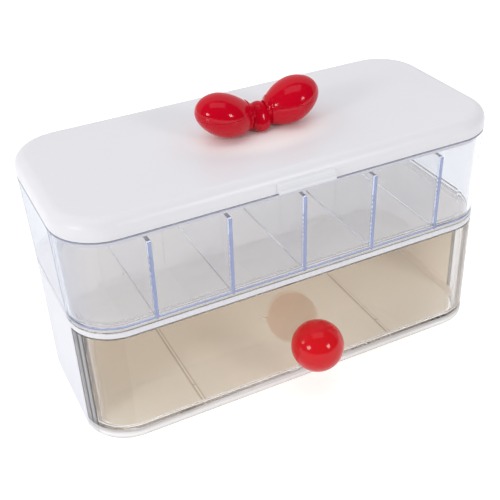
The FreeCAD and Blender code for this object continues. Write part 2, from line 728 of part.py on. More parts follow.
def lobe_pair(name, inset, collar=False):
    """Both lobes of the bow, pear-shaped and turned about a tilted axis, drawn in by inset.

    The collar is the gathered fold between lobe and knot.
    """
    belly = f"(sizes.lobe_belly - {inset})"
    neck = f"(sizes.lobe_neck - {inset})"
    tip = f"(sizes.lobe_tip_round - {inset})"
    reach = f"(sizes.lobe_reach - {inset})"
    # the belly's arc meets the tip's arc on the line through both centres
    belly_arc = f"(({reach} - {tip}) ^ 2 + {belly} ^ 2 - {tip} ^ 2) / (2 * ({belly} - {tip}))"
    neck_arc = f"(sizes.lobe_neck_run ^ 2 + ({belly} - {neck}) ^ 2) / (2 * ({belly} - {neck}))"
    share = f"{tip} / ({belly_arc} - {tip})"
    neck_end = "-sizes.lobe_neck_run"
    corners = [
        (reach, "0"),
        (f"({reach} - {tip}) * (1 + {share})", f"({belly_arc} - {belly}) * {share}"),
        ("0", belly),
        (neck_end, neck),
    ]
    arcs = {0: (tip, "left"), 1: (belly_arc, "left"), 2: (neck_arc, "left")}
    if collar:
        neck_end = "-sizes.lobe_neck_run - sizes.collar_width"
        corners.append((neck_end, neck))
        arcs[3] = ("sizes.collar_round", "left")
    right = new_body(f"{name}_right")
    profile = new_sketch(right, f"{name}_profile", plane="XZ_Plane")
    draw_outline(profile, corners + [(neck_end, "0")], arcs)
    revolve(right, f"{name}_turned", profile)
    right.Placement = FreeCAD.Placement(
        FreeCAD.Vector(), FreeCAD.Rotation(FreeCAD.Vector(0, -1, 0), worth("sizes.lobe_tilt")))
    right.setExpression("Placement.Rotation.Angle", "sizes.lobe_tilt")
    place_at(right, "sizes.lobe_offset", "-sizes.bow_forward", "places.lid_top + sizes.lobe_lift")
    left = doc.addObject("Part::Mirroring", f"{name}_left")
    left.Source = right
    left.Normal = FreeCAD.Vector(1, 0, 0)
    return [right, left]


def build_bow():
    """Two half shells: the level parting line runs round both lobes at mid height."""
    solid = join_all("bow_solid", lobe_pair("lobe", "0", collar=True) + [build_knot()])
    inside = join_all("bow_hollow", lobe_pair("lobe_hollow", "sizes.bow_wall"))
    hollow_bow = combine("Cut", "hollow_bow", solid, inside)

    reach = "(sizes.lobe_offset + sizes.lobe_reach)"
    span = {"Length": f"2 * {reach}", "Width": "4 * sizes.lobe_belly"}
    corner = (f"-{reach}", "-sizes.bow_forward - 2 * sizes.lobe_belly")
    low = primitive("Box", "below_parting", Height="sizes.parting_lift", **span)
    place_at(low, *corner, "places.lid_top")
    high = primitive("Box", "above_parting", Height="2 * sizes.lobe_reach", **span)
    place_at(high, *corner, "places.lid_top + sizes.parting_lift")
    upper = combine("Common", "bow_upper_shell", hollow_bow, high)
    lower_skin = combine("Common", "lower_skin", hollow_bow, low)

    posts = []
    pilots = []
    for name, side in (("left", "-"), ("right", "")):
        middle = (f"{side}sizes.lobe_offset", "-sizes.bow_forward", "places.lid_top")
        post = primitive("Cylinder", f"post_{name}", Radius="sizes.post_radius",
                         Height="sizes.post_height")
        place_at(post, *middle)
        posts.append(post)
        pilot = primitive("Cylinder", f"pilot_{name}", Radius="sizes.bow_screw_radius",
                          Height="sizes.bow_screw_length - sizes.lid_roof - sizes.boss_height")
        place_at(pilot, *middle)
        pilots.append(pilot)
    with_posts = join_all("skin_with_posts", [lower_skin] + posts)
    lower = combine("Cut", "bow_lower_shell", with_posts, join_all("pilots", pilots))
    return upper, lower


def build_bow_screws():
    """Two pan-head screws, from inside the lid up into the posts of the bow's lower shell."""
    body = new_body("bow_screw")
    head = "sizes.bow_screw_head"
    height = "sizes.bow_screw_head_height"
    shank = "sizes.bow_screw_radius"
    length = "sizes.bow_screw_length"
    flat = f"({head} - {height})"
    profile = new_sketch(body, "screw_profile", plane="XZ_Plane")
    profile.AttachmentOffset = FreeCAD.Placement(
        FreeCAD.Vector(), FreeCAD.Rotation(FreeCAD.Vector(0, 0, 1), 90))
    draw_outline(
        profile,
        [
            (f"{height} + {length}", "0"),
            (f"{height} + {length} - {shank}", shank),
            (height, shank),
            (height, head),
            ("0", flat),
            ("0", "0"),
        ],
        {3: (height, "left")},
    )
    revolve(body, "screw", profile)
    cut_driver_cross(body, "XY_Plane")
    place_at(body, "sizes.lobe_offset", "-sizes.bow_forward",
             f"places.lid_top - sizes.lid_roof - sizes.boss_height - {height}")
    other = doc.addObject("Part::Mirroring", "other_bow_screw")
    other.Source = body
    other.Normal = FreeCAD.Vector(1, 0, 0)
    pair = doc.addObject("Part::Compound", "bow_screws")
    pair.Links = [body, other]
    return pair


bow_upper_shell, bow_lower_shell = build_bow()
sub_parts = [
    build_case(),
    build_drawer(),
    build_knob_ball(),
    build_knob_screw(),
    build_tray(),
    build_lid(),
    build_hinge_pin("hinge_pin_left", "-"),
    build_hinge_pin("hinge_pin_right", ""),
    bow_upper_shell,
    bow_lower_shell,
    build_bow_screws(),
]
doc.recompute()

for item in doc.Objects:
    if "Invalid" in item.State or "Error" in item.State:
        raise RuntimeError(f"{item.Label} failed: {item.State}")
for item in sub_parts:
    if item.Shape.isNull() or not item.Shape.isValid():
        raise RuntimeError(f"{item.Label} has no valid shape")

os.makedirs("parts", exist_ok=True)
for item in sub_parts:
    item.Shape.exportStep(f"parts/{item.Label}.step")
    box = item.Shape.BoundBox
    print(f"{item.Label}: {len(item.Shape.Solids)} solids, {item.Shape.Volume / 1000:.2f} cm3,"
          f" x {box.XMin:.1f} {box.XMax:.1f} y {box.YMin:.1f} {box.YMax:.1f}"
          f" z {box.ZMin:.1f} {box.ZMax:.1f}")
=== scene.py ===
# %% [markdown]
# # A hair accessory organizer
# The real object is a white moulded case with a clear pull-out drawer, and on it a clear
# divided tray under a white lid with a glossy red bow. The measured solids come from the
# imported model, so this lesson starts by loading them and then gives each its finish.

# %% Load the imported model
import math

import bmesh
import bpy
import numpy as np
from mathutils import Matrix, Vector


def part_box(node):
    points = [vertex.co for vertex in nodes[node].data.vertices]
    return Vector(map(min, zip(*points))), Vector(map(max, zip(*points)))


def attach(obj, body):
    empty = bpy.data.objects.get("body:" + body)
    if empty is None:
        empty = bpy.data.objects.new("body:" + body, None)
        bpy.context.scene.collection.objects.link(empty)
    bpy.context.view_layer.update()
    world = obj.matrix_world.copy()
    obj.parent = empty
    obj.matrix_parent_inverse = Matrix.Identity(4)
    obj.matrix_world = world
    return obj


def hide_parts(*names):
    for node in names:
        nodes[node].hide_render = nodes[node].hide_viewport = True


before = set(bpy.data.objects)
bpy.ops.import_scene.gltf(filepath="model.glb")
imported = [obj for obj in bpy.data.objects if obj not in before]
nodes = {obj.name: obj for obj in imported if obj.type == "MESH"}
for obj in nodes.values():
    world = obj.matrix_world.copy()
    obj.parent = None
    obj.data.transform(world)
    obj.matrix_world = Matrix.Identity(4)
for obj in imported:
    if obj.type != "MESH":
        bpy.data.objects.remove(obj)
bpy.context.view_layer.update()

print("nodes:", ", ".join(sorted(nodes)))

# %% [markdown]
# ## The camera
# A photograph's perspective fixes where its camera stood. The camera is set from three
# angles, a distance and a focal length that make the box's corners fall where they are in
# the photograph. The frame is square, so the focal length in pixels of a 500 pixel wide
# image gives the lens directly.

# %% Camera at the photograph's place
MM = 0.001
FRAME_PIXELS = 500
SENSOR_WIDTH = 36.0
FOCAL_PIXELS = 867.119
CAMERA_ANGLES = {"azimuth": -24.99, "elevation": 33.582, "roll": -2.592}
CAMERA_AIM = Vector((0.0, 0.0, 60.0))
CAMERA_OFFSETS = {"back": 445.333, "right": -5.0, "up": -8.41}


def camera_axes(azimuth, elevation, roll):
    """The camera's right, up and backward directions for angles in degrees."""
    a, e, r = (math.radians(angle) for angle in (azimuth, elevation, roll))
    back = Vector((math.sin(a) * math.cos(e), -math.cos(a) * math.cos(e), math.sin(e)))
    level = Vector((math.cos(a), math.sin(a), 0.0))
    rise = back.cross(level)
    right = math.cos(r) * level + math.sin(r) * rise
    up = math.cos(r) * rise - math.sin(r) * level
    return right, up, back


def add_camera():
    """Places the camera and makes it the scene's own."""
    right, up, back = camera_axes(**CAMERA_ANGLES)
    offset = (back * CAMERA_OFFSETS["back"] + right * CAMERA_OFFSETS["right"]
              + up * CAMERA_OFFSETS["up"])
    place = (CAMERA_AIM + offset) * MM
    data = bpy.data.cameras.new("photo_camera")
    data.sensor_width = SENSOR_WIDTH
    data.lens = FOCAL_PIXELS * SENSOR_WIDTH / FRAME_PIXELS
    data.clip_start = 0.01
    camera = bpy.data.objects.new("photo_camera", data)
    camera.matrix_world = Matrix((
        (right.x, up.x, back.x, place.x),
        (right.y, up.y, back.y, place.y),
        (right.z, up.z, back.z, place.z),
        (0.0, 0.0, 0.0, 1.0),
    ))
    bpy.context.scene.collection.objects.link(camera)
    bpy.context.scene.camera = camera
    return camera


camera = add_camera()
print("lens", round(camera.data.lens, 2), "mm")

# %% [markdown]
# ## Helpers for materials
# Colours are written as sRGB hex values, as a paint chart gives them, and one function turns
# them into the linear values that the renderer adds up. Another adds a node, sets its fields
# and fills its sockets with numbers, colours or links.

# %% Colour and node helpers


def tint(text):
    """A linear colour from an sRGB hex value."""
    parts = [int(text[i:i + 2], 16) / 255.0 for i in (1, 3, 5)]
    linear = [p / 12.92 if p <= 0.04045 else ((p + 0.055) / 1.055) ** 2.4 for p in parts]
    return (*linear, 1.0)


def add_node(tree, kind, sockets=None, **fields):
    """Adds one node, sets its fields, and gives its sockets a value or a link."""
    node = tree.nodes.new(kind)
    for name, value in fields.items():
        setattr(node, name, value)
    for key, value in (sockets or {}).items():
        if isinstance(value, bpy.types.NodeSocket):
            tree.links.new(value, node.inputs[key])
        else:
            node.inputs[key].default_value = value
    return node


def new_material(name):
    """An empty material with only its output node."""
    material = bpy.data.materials.new(name)
    material.use_nodes = True
    tree = material.node_tree
    tree.nodes.clear()
    return material, tree, add_node(tree, "ShaderNodeOutputMaterial")


def worked_out(tree, value, *steps):
    """Works a value out step by step. A step is an operation and the values it also takes."""
    for operation, *others in steps:
        sockets = dict(enumerate((value, *others)))
        value = add_node(tree, "ShaderNodeMath", sockets, operation=operation).outputs[0]
    return value


REST_OF_ONE = ("MULTIPLY_ADD", -1.0, 1.0)

# %% [markdown]
# No moulding is perfectly even. A smooth random pattern on the piece's own coordinates makes
# its colour, gloss and surface wander a little, with blotches of a real size in millimetres.

# %% Unevenness of moulded surfaces


def object_place(tree):
    """The point on the piece in metres, which stays with the piece in every pose."""
    return add_node(tree, "ShaderNodeTexCoord").outputs["Object"]


def mottle(tree, grain_mm, detail=2.0):
    """A smooth random value from 0 to 1 whose blotches are about grain_mm across."""
    sockets = {"Vector": object_place(tree), "Scale": 1.0 / (grain_mm * MM), "Detail": detail}
    return add_node(tree, "ShaderNodeTexNoise", sockets).outputs["Fac"]


def uneven(tree, grain_mm, low, high):
    """A value such as a roughness that wanders between two others."""
    sockets = {"Value": mottle(tree, grain_mm), "To Min": low, "To Max": high}
    return add_node(tree, "ShaderNodeMapRange", sockets).outputs["Result"]


def rippled(tree, grain_mm, depth_mm, detail=1.0):
    """A surface with soft ripples of a width and a depth in mm."""
    sockets = {"Height": mottle(tree, grain_mm, detail), "Distance": depth_mm * MM}
    return add_node(tree, "ShaderNodeBump", sockets).outputs["Normal"]


MIX_FACTOR, MIX_FIRST, MIX_SECOND, MIX_RESULT = 0, 6, 7, 2


def painted(tree, base, *layers):
    """Lays colours over a base colour. A layer is a mask and a hex value."""
    colour = tint(base)
    for mask, layer in layers:
        sockets = {MIX_FACTOR: mask, MIX_FIRST: colour, MIX_SECOND: tint(layer)}
        colour = add_node(tree, "ShaderNodeMix", sockets, data_type="RGBA").outputs[MIX_RESULT]
    return colour


# %% [markdown]
# ## Masks that follow the shape
# Painted light and shade go where a clear plastic is seen edge-on, and painted warm shade goes on
# the inside of the case, which is white plastic. A mask is one in such a zone and zero elsewhere.
# It is told by sizes in millimetres, the same as those of the solids.

# %% Masks
FAR = 1000.0
CORNER_MIDDLE = (86.5, 24.75, FAR)


def between(tree, value, low, high):
    """One where a value lies between two sizes in mm, else zero."""
    middle, half = (low + high) / 2.0 * MM, (high - low) / 2.0 * MM
    return worked_out(tree, value, ("COMPARE", middle, half))


def both(tree, first, *others):
    """The product of several masks, so one only where each of them is one."""
    return worked_out(tree, first, *(("MULTIPLY", other) for other in others))


def ramp(tree, value, low, high):
    """Rises softly from zero at one size in mm to one at another."""
    return add_node(tree, "ShaderNodeMapRange", {
        "Value": value, "From Min": low * MM, "From Max": high * MM,
    }, interpolation_type="SMOOTHSTEP").outputs["Result"]


def from_outside(tree):
    """One where light meets the outside of a solid, zero where it meets it from within."""
    within = add_node(tree, "ShaderNodeNewGeometry").outputs["Backfacing"]
    return worked_out(tree, within, REST_OF_ONE)


def measured(tree):
    """A point's X, Y and Z, how far aside it is, and how far out from a corner arc's middle."""
    here = object_place(tree)
    place = add_node(tree, "ShaderNodeSeparateXYZ", {0: here}).outputs
    size = add_node(tree, "ShaderNodeVectorMath", {0: here}, operation="ABSOLUTE").outputs[0]
    aside = add_node(tree, "ShaderNodeSeparateXYZ", {0: size}).outputs["X"]
    middle = Vector(CORNER_MIDDLE) * MM
    past = add_node(tree, "ShaderNodeVectorMath", {0: size, 1: middle}, operation="SUBTRACT")
    arc = add_node(tree, "ShaderNodeVectorMath", {0: past.outputs[0], 1: (0.0, 0.0, 0.0)},
                   operation="MAXIMUM")
    reach = add_node(tree, "ShaderNodeVectorMath", {0: arc.outputs[0]}, operation="LENGTH")
    return place, aside, reach.outputs["Value"]


# %% [markdown]
# ## White ABS
# ABS is moulded against a steel cavity that was lightly spark-eroded, so its skin is even and
# satin, never a mirror. The eye sees that as soft, wide highlights on the rounded edges.

# %% White ABS
ABS_IOR = 1.54


def white_abs(name, outside, shade, zones):
    """Satin moulded white. zones gives the masks and colours of painted shade and light on the
    piece.
    """
    material, tree, output = new_material(name)
    shader = add_node(tree, "ShaderNodeBsdfPrincipled", {
        "Base Color": painted(tree, outside, (mottle(tree, 45.0), shade), *zones(tree)),
        "Roughness": uneven(tree, 8.0, 0.30, 0.38),
        "IOR": ABS_IOR,
        "Normal": rippled(tree, 0.6, 0.004),
    })
    tree.links.new(shader.outputs[0], output.inputs["Surface"])
    return material


# %% [markdown]
# The case is painted warm inside and on its deck, a painted warm shade of white plastic in shadow,
# and is cool white outside. Its two rails show as faint lines through the drawer, painted as shade
# on their sides. Its side panels are painted a little darker as shade, and their front ends are
# painted dark as the shade of the drawer.

# %% White ABS of the case
INSIDE_REACH = 20.8
DECK_REACH = 21.6
INSIDE_FRONT = -44.0
INSIDE_LEVELS = (1.0, 61.2)
DECK_LEVELS = (61.3, 64.0)
FLOOR_LEVEL = 3.4
RAIL_PLACE = 54.0
RAIL_LINE = (0.50, 1.15)
PANEL_START = (107.5, 108.7)
PANEL_END = (-28.75, -28.3)
PANEL_LEVELS = (2.6, 60.8)


def case_zones(tree):
    """Painted shade on the case's inside, floor, rail lines, deck, side panels and their front
    ends.
    """
    place, aside, reach = measured(tree)
    inside = both(tree, between(tree, reach, -1.0, INSIDE_REACH),
                  between(tree, place["Y"], INSIDE_FRONT, FAR),
                  between(tree, place["Z"], *INSIDE_LEVELS))
    floor = both(tree, inside, between(tree, place["Z"], -FAR, FLOOR_LEVEL))
    to_rail = worked_out(tree, aside, ("SUBTRACT", RAIL_PLACE * MM), ("ABSOLUTE",))
    deck = both(tree, between(tree, reach, -1.0, DECK_REACH),
                between(tree, place["Z"], *DECK_LEVELS))
    ends = both(tree, between(tree, place["Y"], *PANEL_END),
                between(tree, place["Z"], *PANEL_LEVELS))
    return [
        # painted warm shade on the case's inside and floor, as white plastic in shadow looks there
        (inside, "#FBF0DE"),
        (floor, "#FBF3E4"),
        # painted shade as darker lines along the sides of the rails
        (both(tree, floor, between(tree, to_rail, *RAIL_LINE)), "#CDBDA8"),
        # painted warm shade on the deck under the tray and lid
        (deck, "#EFE8DF"),
        # painted shade on the side panels, darker than the rest of the outside
        (ramp(tree, aside, *PANEL_START), "#DFDFE8"),
        # painted shade on the front ends of the side panels, in the drawer's shadow
        (ends, "#6E6F75"),
    ]


case_white = white_abs("moulded_white_abs_case", "#E9E9EF", "#E6E6EC", case_zones)
print(case_white.name)

# %% [markdown]
# The lid's skirt hangs into the tray and is seen through it, painted a little darker as painted
# shade. Round the bow the lid is a little paler, which offsets the shadow that the lamps cast
# there.

# %% White ABS of the lid
SKIRT_TOP = 111.4
LID_TOP_LEVEL = 119.0
PALE_HALF_SIZES = (36.0, 22.0)
PALE_OFFSET = (0.0, -0.3, 0.0)
PALE_EDGE = (0.6, 1.15)


def lid_zones(tree):
    """The lid's skirt painted darker as shade, and the pale patch round the bow painted against the
    lamps' shadow.
    """
    level = add_node(tree, "ShaderNodeSeparateXYZ", {0: object_place(tree)}).outputs["Z"]
    shares = [1.0 / (size * MM) for size in PALE_HALF_SIZES] + [0.0]
    ring = add_node(tree, "ShaderNodeVectorMath", {0: object_place(tree), 1: shares},
                    operation="MULTIPLY").outputs[0]
    away = add_node(tree, "ShaderNodeVectorMath", {0: ring, 1: PALE_OFFSET},
                    operation="DISTANCE").outputs["Value"]
    pale = add_node(tree, "ShaderNodeMapRange", {
        "Value": away, "From Min": PALE_EDGE[0], "From Max": PALE_EDGE[1],
        "To Min": 1.0, "To Max": 0.0,
    }, interpolation_type="SMOOTHSTEP").outputs["Result"]
    return [
        # painted shade on the skirt inside the tray
        (between(tree, level, -FAR, SKIRT_TOP), "#D2D1DA"),
        (both(tree, pale, between(tree, level, LID_TOP_LEVEL, FAR)), "#FFFFFF"),
    ]


lid_white = white_abs("moulded_white_abs_lid", "#E9E9EE", "#E5E5EA", lid_zones)
print(lid_white.name)

# %% [markdown]
# ## Clear polystyrene
# General-purpose polystyrene is the clear, stiff and cheap plastic of such boxes. Its walls
# are nearly colourless, but light that travels along a wall to an edge crosses centimetres
# of plastic, so the edges look blue-grey. A thin absorption in the solid gives a little of
# that, and colour painted on the edges gives the rest, as painted edge glow and painted dark lines.

# %% Clear polystyrene
POLYSTYRENE_IOR = 1.59


def marked(tree, shader, marks):
    """Lays plain coloured plastic over a shader, used as painted edge glow and painted shade. marks
    lists a share, a mask and a colour.
    """
    for share, mask, colour in marks:
        solid = add_node(tree, "ShaderNodeBsdfPrincipled", {
            "Base Color": tint(colour), "Roughness": 0.45, "IOR": POLYSTYRENE_IOR,
        })
        shader = add_node(tree, "ShaderNodeMixShader", {
            0: worked_out(tree, mask, ("MULTIPLY", share)), 1: shader, 2: solid.outputs[0],
        }).outputs[0]
    return shader


# %% [markdown]
# Lamps have to reach what is behind a clear wall, and a renderer finds few of their paths
# through it. So rays that carry lamp light pass as through a plain pane.

# %% Clear plastic with cloudy edges


def clear_polystyrene(name, pane_tint, edge_tint, shine, edges):
    """Clear moulded plastic with a faint tint, with painted edge glow and painted dark lines where
    it is seen edge-on.
    """
    material, tree, output = new_material(name)
    glass = add_node(tree, "ShaderNodeBsdfPrincipled", {
        "Base Color": tint(pane_tint),
        "Roughness": uneven(tree, 12.0, 0.015, 0.03),
        "IOR": POLYSTYRENE_IOR,
        "Transmission Weight": 1.0,
        "Specular IOR Level": shine,
        "Normal": rippled(tree, 30.0, 0.004),
    })
    # painted edge glow and painted shade from the piece's edge masks
    with_painted_edges = marked(tree, glass.outputs[0], edges(tree))
    pane = add_node(tree, "ShaderNodeBsdfTransparent", {"Color": tint("#FFFFFF")})
    path = add_node(tree, "ShaderNodeLightPath").outputs
    lamp = worked_out(tree, path["Is Shadow Ray"], ("MAXIMUM", path["Is Diffuse Ray"]))
    mixed = add_node(tree, "ShaderNodeMixShader", {0: lamp, 1: with_painted_edges, 2: pane.outputs[0]})
    absorb = add_node(tree, "ShaderNodeVolumeAbsorption", {
        "Color": tint(edge_tint), "Density": 8.0,
    })
    tree.links.new(mixed.outputs[0], output.inputs["Surface"])
    tree.links.new(absorb.outputs[0], output.inputs["Volume"])
    return material


# %% [markdown]
# The tray's edges are painted where it is seen edge-on: a painted blue glow on the front ends of
# the dividers and along its foot, and painted dark lines on the tops of the dividers, on its rim
# and where the dividers meet the floor. Its end walls are painted faintly blue.

# %% Clear polystyrene of the tray
DIVIDER_PITCH = 37.0
DIVIDER_ROW = 76.0
DIVIDER_HALF = 0.88
DIVIDER_CORE = 0.45
TRAY_FRONT = -46.6
TRAY_BEHIND_FRONT = -46.0
TRAY_WALL_REACH = 21.6
TRAY_END_BLUE = (98.0, 109.0)
TRAY_LEVELS = {
    "wall": (67.0, FAR), "foot": (65.7, 66.74), "under_dividers": (65.3, 65.7),
    "divider_fronts": (66.6, 106.0), "divider_tops": (105.8, 106.3), "rim": (110.75, FAR),
}


def tray_edges(tree):
    """Where the tray is seen edge-on, so that light has come a long way through it; there its glow
    and dark lines are painted.
    """
    place, aside, reach = measured(tree)
    at = {name: between(tree, place["Z"], *levels) for name, levels in TRAY_LEVELS.items()}
    wall = both(tree, at["wall"], between(tree, reach, TRAY_WALL_REACH, FAR))
    row = between(tree, aside, -FAR, DIVIDER_ROW)
    off = worked_out(tree, place["X"], ("PINGPONG", DIVIDER_PITCH / 2.0 * MM))
    wide = both(tree, row, between(tree, off, -1.0, DIVIDER_HALF))
    core = both(tree, row, between(tree, off, -1.0, DIVIDER_CORE))
    front = between(tree, place["Y"], -FAR, TRAY_FRONT)
    behind = between(tree, place["Y"], TRAY_BEHIND_FRONT, FAR)
    return [
        # painted blue tone on the end walls
        (0.23, both(tree, wall, ramp(tree, aside, *TRAY_END_BLUE)), "#95A1C6"),
        # painted blue glow on the front ends of the dividers
        (0.88, both(tree, wide, front, at["divider_fronts"]), "#95A2CB"),
        # painted blue glow along the foot, seen from outside
        (0.80, both(tree, from_outside(tree), at["foot"]), "#8E9CC8"),
        # painted dark lines on the tops of the dividers
        (0.80, both(tree, wide, behind, at["divider_tops"]), "#686C82"),
        # painted shade where the dividers meet the floor
        (0.60, both(tree, core, at["under_dividers"]), "#74788C"),
        # painted dark line on the rim, the shade of the gap under the lid
        (0.70, at["rim"], "#7C7F94"),
    ]


tray_clear = clear_polystyrene("moulded_clear_polystyrene_tray", "#F9FAFC", "#A8B4DC", 0.5,
                               tray_edges)
print(tray_clear.name)

# %% [markdown]
# The drawer's front wraps round the case's corners. There its end, and the double wall beside
# it, are painted as a dark band with darker lines, painted shade where light bends at the wrap. Its
# bottom rim is painted in pale and grey bands as painted light, and its top edge and the tub's side
# by the wrap are painted dark as shade. Inside, the corner is painted pale and the inner bend
# painted warm, as the case's shade seen through it.

# %% Clear polystyrene of the drawer
WRAP_REACH = 21.0
WRAP_ASIDE = 90.0
WRAP_END = {"start": (-28.3, -27.8), "aside": 106.0}
WRAP_BAND = (-35.7, -28.2)
WRAP_LINES = ((-29.3, -28.2), (-33.1, -32.2), (-36.1, -35.2))
RIM_LEVELS = {"edge": (-1.0, 0.7), "pale": (0.7, 3.1), "grey": (3.1, 5.6), "bend": (6.1, 11.0)}
TUB_SIDE = {"aside": (103.0, 105.0), "depth": (-30.0, -26.3), "levels": (8.0, 60.0)}
TUB_BEND = {"aside": (100.0, 105.0), "depth": (-33.0, FAR), "levels": (4.95, 8.6)}
FRONT_TOP = 60.0


def tub_zone(tree, place, aside, zone):
    """A zone on the tub, told by how far aside, how deep and how high it lies."""
    return both(tree, between(tree, aside, *zone["aside"]),
                between(tree, place["Y"], *zone["depth"]),
                between(tree, place["Z"], *zone["levels"]))


def drawer_edges(tree):
    """Painted dark lines at the ends of the drawer's wrap, painted light on its rim and inner
    corner, painted shade on its top edge, tub side and inner bend.
    """
    place, aside, reach = measured(tree)
    level, depth = place["Z"], place["Y"]
    outside = from_outside(tree)
    outer = between(tree, reach, WRAP_REACH, FAR)
    corner = both(tree, outer, between(tree, aside, WRAP_ASIDE, FAR))
    facing = both(tree, corner, outside)
    within = both(tree, corner, worked_out(tree, outside, REST_OF_ONE))
    ends = both(tree, between(tree, depth, *WRAP_END["start"]),
                between(tree, aside, WRAP_END["aside"], FAR))
    first, *others = (between(tree, depth, *line) for line in WRAP_LINES)
    lines = worked_out(tree, first, *(("ADD", line) for line in others))
    rim = {name: between(tree, level, *levels) for name, levels in RIM_LEVELS.items()}
    return [
        # painted shade on the end of the wrap
        (0.85, ends, "#5C5D62"),
        # painted dark band beside the wrap's end
        (0.75, both(tree, facing, between(tree, depth, *WRAP_BAND)), "#8E8E94"),
        # painted darker lines in that band
        (0.85, both(tree, facing, lines), "#3A3A40"),
        # painted pale light on the corner seen from within
        (0.35, within, "#F2F2F6"),
        # painted shade on the tub's side by the wrap
        (0.75, both(tree, outside, tub_zone(tree, place, aside, TUB_SIDE)), "#77787D"),
        # painted light and grey bands on the bottom rim
        (0.68, both(tree, outer, rim["pale"]), "#FBFBFE"),
        (0.62, both(tree, outer, rim["grey"]), "#E2E2E7"),
        (0.55, both(tree, outer, rim["edge"]), "#BDBDC4"),
        # painted light on the inner bend of the corner
        (0.45, both(tree, within, rim["bend"]), "#FBFBFE"),
        # painted dark line on the front's top edge
        (0.55, both(tree, outer, between(tree, level, FRONT_TOP, FAR)), "#66645F"),
        # painted warm shade over the tub's inner wall-to-floor bend
        (0.95, tub_zone(tree, place, aside, TUB_BEND), "#EBDFCD"),
    ]


drawer_clear = clear_polystyrene("moulded_clear_polystyrene_drawer", "#FFFFFF", "#B8BCCC", 0.15,
                                 drawer_edges)
print(drawer_clear.name)

# %% [markdown]
# Light bounces along inside a clear wall many times before it leaves by an edge, so the
# renderer is allowed more bounces than usual. With too few, the edges would turn black.

# %% Bounces for light inside clear walls
bpy.context.scene.cycles.max_bounces = 40
bpy.context.scene.cycles.glossy_bounces = 36
bpy.context.scene.cycles.transmission_bounces = 36
bpy.context.scene.cycles.transparent_max_bounces = 48
bpy.context.scene.cycles.diffuse_bounces = 6
print("bounces", bpy.context.scene.cycles.max_bounces)

# %% [markdown]
# ## Glossy red ABS
# The bow and the ball knob are moulded against polished steel, so they mirror the lamps as
# small round spots and the white table as a pale rim.

# %% Red ABS of the bow and the ball


def red_abs(name, deep, light):
    """Polished moulded red with a faint unevenness from shrinkage."""
    material, tree, output = new_material(name)
    shader = add_node(tree, "ShaderNodeBsdfPrincipled", {
        "Base Color": painted(tree, deep, (mottle(tree, 25.0), light)),
        "Roughness": uneven(tree, 6.0, 0.11, 0.13),
        "IOR": ABS_IOR,
        "Specular IOR Level": 0.27,
        "Normal": rippled(tree, 14.0, 0.006),
    })
    tree.links.new(shader.outputs[0], output.inputs["Surface"])
    return material


bow_red = red_abs("moulded_red_abs_bow", "#C3001E", "#C80222")
ball_red = red_abs("moulded_red_abs_ball", "#D6141E", "#D81A24")
print(bow_red.name, ball_red.name)

# %% [markdown]
# ## Zinc-plated steel
# The screws and hinge pins are steel with a thin bright zinc plating. It is a metal, so its
# colour is that of its reflections, slightly blue and a little blurred.

# %% Zinc-plated steel of the screws and pins


def zinc_steel(name):
    """Bright plated steel with a faint grain."""
    material, tree, output = new_material(name)
    shader = add_node(tree, "ShaderNodeBsdfPrincipled", {
        "Base Color": painted(tree, "#C9CCD2", (mottle(tree, 1.5), "#B9BCC4")),
        "Metallic": 1.0,
        "Roughness": uneven(tree, 0.8, 0.22, 0.34),
        "Normal": rippled(tree, 0.4, 0.01, detail=2.0),
    })
    tree.links.new(shader.outputs[0], output.inputs["Surface"])
    return material


zinc = zinc_steel("zinc_plated_steel")
print(zinc.name)

# %% [markdown]
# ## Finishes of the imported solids
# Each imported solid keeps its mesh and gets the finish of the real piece.

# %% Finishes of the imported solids


def finish_node(name, material):
    """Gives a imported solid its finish."""
    data = nodes[name].data
    data.materials.clear()
    data.materials.append(material)


for name, material in (
    ("case", case_white),
    ("lid", lid_white),
    ("tray", tray_clear),
    ("drawer", drawer_clear),
    ("knob_ball", ball_red),
    ("knob_screw", zinc),
    ("hinge_pin_left", zinc),
    ("hinge_pin_right", zinc),
    ("bow_upper_shell", bow_red),
    ("bow_lower_shell", bow_red),
    ("bow_screws", zinc),
):
    finish_node(name, material)
    print(name, "has", material.name)

# %% [markdown]
# ## The bow
# The real bow is two hollow half shells glued at a level line. Each lobe is a pear: its
# section grows from a narrow neck to a full belly and closes in a round end. That is a rule,
# so the skin is a grid of sections along X, worked out with numpy. A narrow collar beside
# the knot is the gathered ribbon. The knot is a bead that spreads towards the lid.

# %% Sections of the bow's lobes
BOW_DEPTH_PLACE = -2.84
PARTING_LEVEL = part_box("bow_lower_shell")[1].z / MM
LID_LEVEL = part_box("bow_lower_shell")[0].z / MM
COLLAR = {"place": 5.3, "drift": 0.5, "half_width": 0.75, "height": 0.5, "clear": 7.3}
LOBE = {
    "end": 31.15, "start": 3.0, "neck": 4.0, "belly": 0.505, "neck_depth": 0.40,
    "neck_height": 0.53, "growth": 2.07, "depth": 11.75, "height": 10.55, "level": 131.5,
    "rise": 0.214, "middle": 17.5, "roundness": 1.76,
}
AROUND = 144
NECK_RINGS = 44
LOBE_RINGS = 100
RINGS_CROWDING = 1.6
LOBE_FOOT_GAP = 0.12


def swell(run, neck):
    """The share of the full section at a share of the way from neck to end."""
    belly = LOBE["belly"]
    growing = 1.0 - (1.0 - neck) * (np.maximum(belly - run, 0.0) / belly) ** LOBE["growth"]
    closing = np.clip((run - belly) / (1.0 - belly), 0.0, 1.0) ** LOBE["roundness"]
    return np.where(run < belly, growing, np.sqrt(np.maximum(1.0 - closing, 0.0)))


def collar(out, turn):
    """How far the gathered collar between knot and lobe raises the skin, in mm."""
    low = 0.5 - 0.5 * np.sin(turn)
    crest = COLLAR["place"] + COLLAR["drift"] * low ** 3
    part = np.clip(1.0 - ((out - crest) / COLLAR["half_width"]) ** 2, 0.0, 1.0)
    return COLLAR["height"] * np.sqrt(part)


